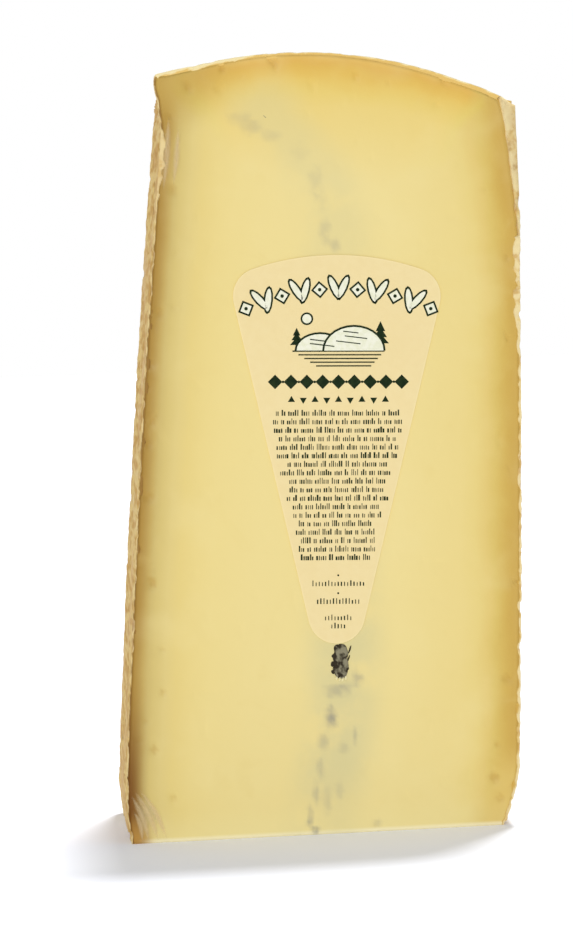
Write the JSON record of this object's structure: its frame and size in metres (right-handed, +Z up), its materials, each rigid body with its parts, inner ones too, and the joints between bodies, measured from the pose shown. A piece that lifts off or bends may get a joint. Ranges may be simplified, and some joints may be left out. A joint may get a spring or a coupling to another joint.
{
  "type": "morbier cheese",
  "caption": "Upright slab cut from a quarter wheel of semi-soft cheese: rind on both sides and the domed top, a wavy ash layer through the paste, a fan-shaped paper label on the front cut.",
  "frame": {"origin": "middle of the bounding box's footprint, on the level base cut the piece stands on", "axes": "+Z up from the base cut to the heel; -Y out of the front cut that carries the label; +X to the right along the wheel's axis, but for the small lean"},
  "size_m": [0.0816, 0.0424, 0.1528],
  "materials": {
    "paste": "smooth supple cheese paste, pale yellow, amber towards the rind, tan rind on the outside",
    "ash": "fine crumbly vegetable ash, matte",
    "label_paper": "cream uncoated paper, printed in dark green",
    "rind": "dry tan rind, mottled beige and ochre, with cloth marks",
    "print_ink": "dark green printing ink, flat"
  },
  "bodies": {
    "root": {"cheese_paste": "paste", "ash_layer": "ash", "paper_label": "label_paper"}
  },
  "joints": []
}
